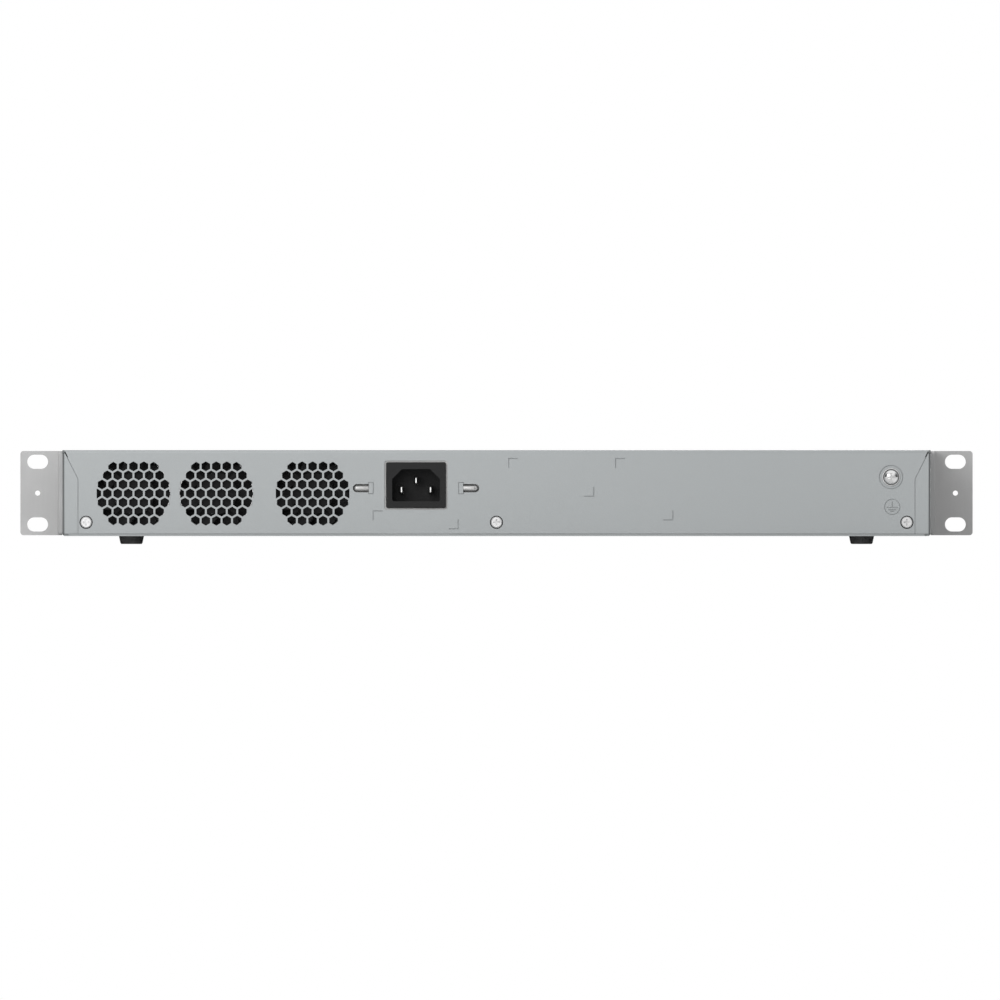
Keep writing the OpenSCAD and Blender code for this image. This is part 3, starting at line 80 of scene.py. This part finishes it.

# Painted shade: the colour is also a little darker on the lowest millimetre of the case, its bottom face
# included
CASE_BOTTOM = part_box("base_tray")[0][2]
UNDERSIDE_SHADE = 0.92
UNDERSIDE_FULL = 1.0 * MM
UNDERSIDE_END = 1.1 * MM

# Edges: the angle from which they are rounded, the steps of a rounding, and how close corners are joined
SHARP_ANGLE = math.radians(32)
ROUNDING_STEPS = 2
JOIN_DISTANCE = 0.002 * MM

# Rear screws: the width of a head, how far it stands out from the flap, and the depth of its dimple
REAR_SCREW_HEAD = 5.8 * MM
REAR_SCREW_PROUD = 0.6 * MM
DIMPLE_DEPTH = 0.8 * MM

# Dark ring in a dimple, a painted shadow round a rear screw's head: its width, and how far its outer face
# lies below the flap
RING_WIDTH = 0.45 * MM
RING_SUNK = 0.35 * MM
# Dark ring round the ground screw's head, on its washer, a painted shadow at the head's edge
GROUND_RING_WIDTH = 0.25 * MM
GROUND_RING_HEIGHT = 0.25 * MM
# Broken corner of a ring, as a share of its thickness
RING_CHAMFER = 0.25


# ---------------------------------------------------------------- node trees


class Nodes:
    """An emptied node tree, with short calls for the nodes that the materials and the world share."""

    def __init__(self, tree):
        self.tree = tree
        tree.nodes.clear()

    def link(self, a, b):
        self.tree.links.new(a, b)

    def node(self, kind, **settings):
        n = self.tree.nodes.new(kind)
        for key, value in settings.items():
            setattr(n, key, value)
        return n

    def spread(self, value, low, high, start=0.3, end=0.7, **settings):
        """Maps start..end onto low..high.  Without limits, start..end is a texture's middle range."""
        n = self.node("ShaderNodeMapRange", **settings)
        n.inputs["From Min"].default_value = start
        n.inputs["From Max"].default_value = end
        n.inputs["To Min"].default_value = low
        n.inputs["To Max"].default_value = high
        self.link(value, n.inputs["Value"])
        return n.outputs["Result"]

    def size_of(self, vector, axis):
        """Size of one component of a vector, without its sign."""
        parts = self.node("ShaderNodeSeparateXYZ")
        self.link(vector, parts.inputs[0])
        size = self.node("ShaderNodeMath", operation="ABSOLUTE")
        self.link(parts.outputs[axis], size.inputs[0])
        return size.outputs[0]

    def combine(self, operation, a, b):
        n = self.node("ShaderNodeMath", operation=operation)
        self.link(a, n.inputs[0])
        self.link(b, n.inputs[1])
        return n.outputs[0]

    def product(self, a, b):
        return self.combine("MULTIPLY", a, b)


class Shader(Nodes):
    """One material's node tree: a principled surface, with textures laid in the object's own frame."""

    def __init__(self, name, colour, roughness, metallic=0.0, **sockets):
        self.material = bpy.data.materials.new(name)
        self.material.use_nodes = True
        super().__init__(self.material.node_tree)
        output = self.node("ShaderNodeOutputMaterial")
        self.surface = self.node("ShaderNodeBsdfPrincipled")
        self.link(self.surface.outputs[0], output.inputs[0])
        self.surface.inputs["Base Color"].default_value = (*colour, 1)
        self.surface.inputs["Roughness"].default_value = roughness
        self.surface.inputs["Metallic"].default_value = metallic
        for socket, value in sockets.items():
            self.surface.inputs[socket.replace("_", " ")].default_value = value
        self.colour = colour
        self.place = self.node("ShaderNodeTexCoord")

    def coordinates(self, stretch=(1, 1, 1)):
        """Position in the object's own frame, scaled on each axis."""
        mapping = self.node("ShaderNodeMapping")
        mapping.inputs["Scale"].default_value = stretch
        self.link(self.place.outputs["Object"], mapping.inputs["Vector"])
        return mapping.outputs["Vector"]

    def noise(self, scale, detail=2.0, stretch=(1, 1, 1)):
        n = self.node("ShaderNodeTexNoise")
        n.inputs["Scale"].default_value = scale
        n.inputs["Detail"].default_value = detail
        self.link(self.coordinates(stretch), n.inputs["Vector"])
        return n.outputs["Fac"]

    def shade(self, factor):
        """Multiplies the base colour by a factor."""
        n = self.node("ShaderNodeVectorMath", operation="SCALE")
        n.inputs[0].default_value = self.colour
        self.link(factor, n.inputs["Scale"])
        self.link(n.outputs[0], self.surface.inputs["Base Color"])

    def roughen(self, value):
        self.link(value, self.surface.inputs["Roughness"])

    def bump(self, height, distance, strength=1.0):
        n = self.node("ShaderNodeBump")
        n.inputs["Strength"].default_value = strength
        n.inputs["Distance"].default_value = distance
        self.link(height, n.inputs["Height"])
        self.link(n.outputs[0], self.surface.inputs["Normal"])


# ---------------------------------------------------------------- materials


def powder_coat_and_painted_shade(name, colour):
    """Fine powder coat: a slight orange peel, a faint fleck, soft marks where it has been handled, and
    painted shade at the corner bends and bottom.
    """
    s = Shader(name, colour, roughness=0.42)
    fleck = s.spread(s.noise(scale=2600, detail=1), 0.97, 1.03)
    cloud = s.spread(s.noise(scale=9, detail=3), 0.985, 1.015)
    # Painted shade: darkens the colour in a narrow band along the case's upright corner bends
    across = s.size_of(s.place.outputs["Object"], "X")
    away_from_fold = s.spread(across, 1, 0, CASE_SIDE - FOLD_START, CASE_SIDE - FOLD_FULL)
    sideways = s.size_of(s.place.outputs["Normal"], "X")
    flat_side = s.spread(sideways, FOLD_SHADE, 1, SIDEWAYS_START, SIDEWAYS_FULL)
    fold_painted_shade = s.combine("MAXIMUM", away_from_fold, flat_side)
    # Painted shade: darkens the colour on the lowest millimetre of the case
    up = s.size_of(s.place.outputs["Object"], "Z")
    low_edge_painted_shade = s.spread(up, UNDERSIDE_SHADE, 1, CASE_BOTTOM + UNDERSIDE_FULL, CASE_BOTTOM + UNDERSIDE_END)
    s.shade(s.product(s.product(fleck, cloud), s.product(fold_painted_shade, low_edge_painted_shade)))
    s.roughen(s.spread(s.noise(scale=28, detail=4), 0.38, 0.5))
    s.bump(s.noise(scale=1500, detail=2), distance=0.03 * MM, strength=0.5)
    return s.material


def plated_steel(name, colour, roughness, grain=(1, 1, 1), depth=0.01 * MM, metallic=1.0, streak=0.04):
    """Plated or bare sheet: a rolled grain that is long on one axis, and a patchy sheen."""
    s = Shader(name, colour, roughness, metallic)
    lines = s.noise(scale=900, detail=3, stretch=grain)
    patches = s.spread(s.noise(scale=35, detail=3), 0.98, 1.02)
    s.shade(s.product(s.spread(lines, 1 - streak, 1 + streak), patches))
    s.roughen(s.spread(s.noise(scale=60, detail=4), roughness * 0.94, roughness * 1.06))
    s.bump(lines, depth, strength=0.4)
    return s.material


def polished(name, colour, roughness, metallic=1.0):
    """Bright plated turned part with fine handling marks."""
    s = Shader(name, colour, roughness, metallic)
    s.shade(s.spread(s.noise(scale=700, detail=3), 0.97, 1.03))
    s.roughen(s.spread(s.noise(scale=400, detail=4), roughness * 0.7, roughness * 1.4))
    s.bump(s.noise(scale=3000, detail=2), distance=0.004 * MM, strength=0.3)
    return s.material


def moulded(name, colour, roughness, grain=1800, depth=0.02 * MM, gloss=0.5):
    """Injection-moulded plastic or rubber with an etched grain."""
    s = Shader(name, colour, roughness, Specular_IOR_Level=gloss)
    s.shade(s.spread(s.noise(scale=40, detail=3), 0.92, 1.08))
    s.roughen(s.spread(s.noise(grain, detail=2), roughness * 0.9, roughness * 1.12))
    s.bump(s.noise(grain, detail=2), depth, strength=0.35)
    return s.material


def clear_plastic(name, colour):
    """Milky light-pipe plastic."""
    s = Shader(name, colour, roughness=0.25, Transmission_Weight=0.3, IOR=1.49)
    s.shade(s.spread(s.noise(scale=300, detail=2), 0.94, 1.04))
    s.roughen(s.spread(s.noise(scale=900, detail=2), 0.2, 0.32))
    return s.material


def laminate(name, colour):
    """Circuit board: solder resist over fine tracks."""
    s = Shader(name, colour, roughness=0.3)
    tracks = s.node("ShaderNodeTexVoronoi", feature="DISTANCE_TO_EDGE", distance="MANHATTAN")
    tracks.inputs["Scale"].default_value = 260
    s.link(s.coordinates((1, 1, 0.01)), tracks.inputs["Vector"])
    lines = s.spread(tracks.outputs["Distance"], 0.8, 1.1, start=0.02, end=0.06)
    s.shade(lines)
    s.roughen(s.spread(s.noise(scale=500, detail=2), 0.26, 0.36))
    s.bump(lines, distance=0.02 * MM, strength=0.5)
    return s.material


def wound_copper(name, colour):
    """Enamelled wire, laid turn by turn."""
    s = Shader(name, colour, roughness=0.3, metallic=1.0)
    turns = s.node("ShaderNodeTexWave", wave_type="BANDS", bands_direction="Y")
    turns.inputs["Scale"].default_value = 420
    turns.inputs["Distortion"].default_value = 0.6
    s.link(s.coordinates(), turns.inputs["Vector"])
    s.shade(s.spread(turns.outputs["Fac"], 0.75, 1.1, start=0, end=1))
    s.roughen(s.spread(s.noise(scale=300, detail=2), 0.25, 0.4))
    s.bump(turns.outputs["Fac"], distance=0.1 * MM, strength=0.8)
    return s.material


MATERIALS = {
    "case_paint": powder_coat_and_painted_shade("case_paint", PAINT),
    "ear_steel": plated_steel("ear_steel", (0.46, 0.46, 0.46), 0.62, grain=(1, 1, 0.06), depth=0.003 * MM,
                              metallic=0.48, streak=0.012),
    "screw_steel": polished("screw_steel", (0.62, 0.62, 0.62), 0.5, metallic=0.85),
    "chrome_screw": polished("chrome_screw", (0.76, 0.76, 0.76), 0.09),
    "zinc_steel": plated_steel("zinc_steel", (0.5, 0.5, 0.495), 0.55, metallic=0.9),
    "brass": polished("brass", (0.72, 0.55, 0.24), 0.3),
    "rubber": moulded("rubber", (0.26, 0.26, 0.261), 0.7, grain=2600, depth=0.03 * MM, gloss=0.3),
    "fan_plastic": moulded("fan_plastic", (0.009, 0.009, 0.0095), 0.6, gloss=0.12),
    "copper_coil": wound_copper("copper_coil", (0.6, 0.27, 0.12)),
    "lead_insulation": moulded("lead_insulation", (0.42, 0.02, 0.015), 0.35),
    "mains_insulation": moulded("mains_insulation", (0.16, 0.08, 0.035), 0.35),
    "inlet_plastic": moulded("inlet_plastic", (0.0145, 0.0145, 0.0148), 0.5, grain=1500, gloss=0.16),
    "blade_metal": polished("blade_metal", (0.72, 0.72, 0.71), 0.25),
    "main_laminate": laminate("main_laminate", (0.015, 0.085, 0.035)),
    "psu_laminate": laminate("psu_laminate", (0.03, 0.12, 0.045)),
    "insulating_sheet": moulded("insulating_sheet", (0.68, 0.66, 0.56), 0.3),
    "shield_metal": plated_steel("shield_metal", (0.7, 0.71, 0.72), 0.28, grain=(1, 1, 0.2)),
    "jack_plastic": moulded("jack_plastic", (0.018, 0.018, 0.019), 0.4),
    "console_plastic": moulded("console_plastic", (0.02, 0.07, 0.17), 0.4),
    "contact_gold": polished("contact_gold", (0.83, 0.6, 0.22), 0.2),
    "light_pipe": clear_plastic("light_pipe", (0.62, 0.72, 0.56)),
    "button_plastic": moulded("button_plastic", (0.045, 0.045, 0.047), 0.4),
    "chip_resin": moulded("chip_resin", (0.015, 0.015, 0.016), 0.5),
    "heatsink_aluminium": plated_steel("heatsink_aluminium", (0.62, 0.62, 0.63), 0.4, grain=(0.1, 1, 1)),
    "transformer_core": moulded("transformer_core", (0.12, 0.11, 0.08), 0.5),
    "capacitor_sleeve": moulded("capacitor_sleeve", (0.02, 0.02, 0.03), 0.3),
}
# The blades sit deep in the dark, so their grey is lighter than the frames'
BLADE_GREY = moulded("fan_blade_plastic", (0.03, 0.03, 0.031), 0.6, gloss=0.2)


# ---------------------------------------------------------------- pieces


# Outer nodes by the radius of their rounded edges: sheet steel is broken little, the bare ears most
ROUNDED = {
    0.4 * MM: ("ear_left", "ear_right"),
    0.25 * MM: ("foot_front_left", "foot_front_right", "foot_rear_left", "foot_rear_right"),
    0.2 * MM: ("inlet_housing",),
    0.15 * MM: ("rear_screws", "ground_washer", "cord_anchors", "reset_button",
                "fan_rotor_1", "fan_rotor_2", "fan_rotor_3"),
    0.12 * MM: ("base_tray", "top_cover", "front_panel", "ear_screws", "inlet_blades", "status_lights"),
    0.1 * MM: ("side_screws", "front_screws", "ground_screw"),
    0.08 * MM: ("jack_shield_1", "jack_shield_2", "jack_insert_1", "jack_insert_2",
                "console_shield", "console_insert", "sfp_cage"),
}
EDGE_RADIUS = {name: radius for radius, names in ROUNDED.items() for name in names}


def round_edges(node, radius):
    """Joins the node's split corners and rounds every edge sharper than SHARP_ANGLE."""
    weld = node.modifiers.new("weld", "WELD")
    weld.merge_threshold = JOIN_DISTANCE
    bevel = node.modifiers.new("rounded_edges", "BEVEL")
    bevel.width = radius
    bevel.segments = ROUNDING_STEPS
    bevel.limit_method = "ANGLE"
    bevel.angle_limit = SHARP_ANGLE
    bevel.use_clamp_overlap = True
    bevel.harden_normals = True


def dress_nodes():
    """Gives every CAD node its slot's material, and rounds the edges of the outer ones."""
    for part in frame["record"]["subparts"]:
        name = part["node"]
        node = nodes[name]
        node.data.materials.clear()
        material = BLADE_GREY if name.startswith("fan_rotor") else MATERIALS[part["material_slot"]]
        node.data.materials.append(material)
        if name in EDGE_RADIUS:
            round_edges(node, EDGE_RADIUS[name])


def ring_between(bm, x, z, inner, outer, y0, y1, steps=64):
    """Adds a flat ring about the Y direction through (x, z), from y0 to y1, with its corners at y1 broken."""
    chamfer = RING_CHAMFER * (y1 - y0)
    profile = [
        (inner, y0), (outer, y0), (outer, y1 - chamfer), (outer - chamfer, y1),
        (inner + chamfer, y1), (inner, y1 - chamfer),
    ]
    rings = []
    for step in range(steps):
        angle = 2 * math.pi * step / steps
        rings.append([
            bm.verts.new((x + radius * math.cos(angle), y, z + radius * math.sin(angle)))
            for radius, y in profile
        ])
    for step, ring in enumerate(rings):
        after = rings[(step + 1) % steps]
        for k in range(len(profile)):
            j = (k + 1) % len(profile)
            face = bm.faces.new((ring[k], ring[j], after[j], after[k]))
            face.smooth = True
    bmesh.ops.recalc_face_normals(bm, faces=bm.faces)


def build_rings():
    """Dark rings of painted shadow: one round each rear screw, in its dimple, and one round the ground
    screw's head.
    """
    low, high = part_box("rear_screws")
    flap = high[1] - REAR_SCREW_PROUD
    half_head = REAR_SCREW_HEAD / 2
    middle = (low[2] + high[2]) / 2
    bm = bmesh.new()
    for x in (low[0] + half_head, (low[0] + high[0]) / 2, high[0] - half_head):
        ring_between(bm, x, middle, half_head, half_head + RING_WIDTH, flap - DIMPLE_DEPTH, flap - RING_SUNK)
    # Dark rings in the dimples' gaps: painted shadow round the rear screw heads
    add_rings("rear_screw_shadow_rings", bm, moulded("rear_ring_painted_shadow", (0.012, 0.012, 0.012), 0.6, gloss=0.2))

    low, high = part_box("ground_screw")
    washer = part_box("ground_washer")[1][1]
    head = (high[0] - low[0]) / 2
    bm = bmesh.new()
    ring_between(bm, (low[0] + high[0]) / 2, (low[2] + high[2]) / 2, head, head + GROUND_RING_WIDTH,
                 washer, washer + GROUND_RING_HEIGHT)
    # Dark ring on the washer: painted shadow round the ground screw's head
    add_rings("ground_screw_shadow_ring", bm, moulded("ground_ring_painted_shadow", (0.14, 0.14, 0.14), 0.7, gloss=0.2))


def add_rings(name, bm, material):
    """Makes one piece of the rings drawn so far, which rides the case."""
    mesh = bpy.data.meshes.new(name)
    bm.to_mesh(mesh)
    bm.free()
    mesh.materials.append(material)
    rings = bpy.data.objects.new(name, mesh)
    bpy.context.scene.collection.objects.link(rings)
    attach(rings, "case")


# ---------------------------------------------------------------- surroundings


def build_floor():
    bpy.ops.mesh.primitive_plane_add(size=FLOOR_SIZE, location=(0, 0, 0))
    floor = bpy.context.object
    floor.name = "floor"
    s = Shader("floor_paper", (0.82, 0.82, 0.82), roughness=0.7)
    s.shade(s.spread(s.noise(scale=3, detail=2), 0.99, 1.01))
    floor.data.materials.append(s.material)


def add_softbox(name, place, aim):
    """Large soft area light that lights the object and shows in its gloss, but not in the picture."""
    data = bpy.data.lights.new(name, "AREA")
    data.shape = "RECTANGLE"
    data.size, data.size_y = KEY_SIZE
    data.energy = KEY_POWER
    light = bpy.data.objects.new(name, data)
    light.location = place
    light.rotation_euler = (Vector(aim) - Vector(place)).to_track_quat("-Z", "Y").to_euler()
    light.visible_camera = False
    bpy.context.scene.collection.objects.link(light)


def build_world():
    """White surround.  As light it is brightest overhead and dim to the left and right, like a tent."""
    world = bpy.data.worlds.new("tent")
    world.use_nodes = True
    s = Nodes(world.node_tree)
    way = s.node("ShaderNodeTexCoord").outputs["Generated"]
    split = s.node("ShaderNodeSeparateXYZ")
    s.link(way, split.inputs[0])
    height = s.spread(split.outputs["Z"], TENT_BOTTOM, TENT_TOP, start=-1, end=1,
                      interpolation_type="SMOOTHSTEP")
    flank = s.spread(s.size_of(way, "X"), 1, TENT_SIDE, TENT_SIDE_START, TENT_SIDE_END,
                     interpolation_type="SMOOTHSTEP")
    glow = s.node("ShaderNodeBackground")
    s.link(s.product(height, flank), glow.inputs["Strength"])
    paper = s.node("ShaderNodeBackground")
    paper.inputs["Color"].default_value = (1, 1, 1, 1)
    seen = s.node("ShaderNodeLightPath")
    mix = s.node("ShaderNodeMixShader")
    output = s.node("ShaderNodeOutputWorld")
    s.link(seen.outputs["Is Camera Ray"], mix.inputs[0])
    s.link(glow.outputs[0], mix.inputs[1])
    s.link(paper.outputs[0], mix.inputs[2])
    s.link(mix.outputs[0], output.inputs[0])
    bpy.context.scene.world = world


def half_round(place):
    """The place turned half round about the upright axis."""
    x, y, z = place
    return (-x, -y, z)


def build_lights():
    add_softbox("key_rear", KEY_PLACE, KEY_AIM)
    add_softbox("key_front", half_round(KEY_PLACE), half_round(KEY_AIM))


def build_camera():
    data = bpy.data.cameras.new("camera")
    data.type = "ORTHO"
    data.ortho_scale = VIEW_WIDTH
    camera = bpy.data.objects.new("camera", data)
    camera.location = (VIEW_SIDE_SHIFT, VIEW_DISTANCE, VIEW_RISE)
    camera.rotation_euler = (math.pi / 2, 0, math.pi)
    bpy.context.scene.collection.objects.link(camera)
    bpy.context.scene.camera = camera
    bpy.context.scene.view_settings.view_transform = "Standard"


build_camera()
dress_nodes()
build_rings()
build_floor()
build_world()
build_lights()
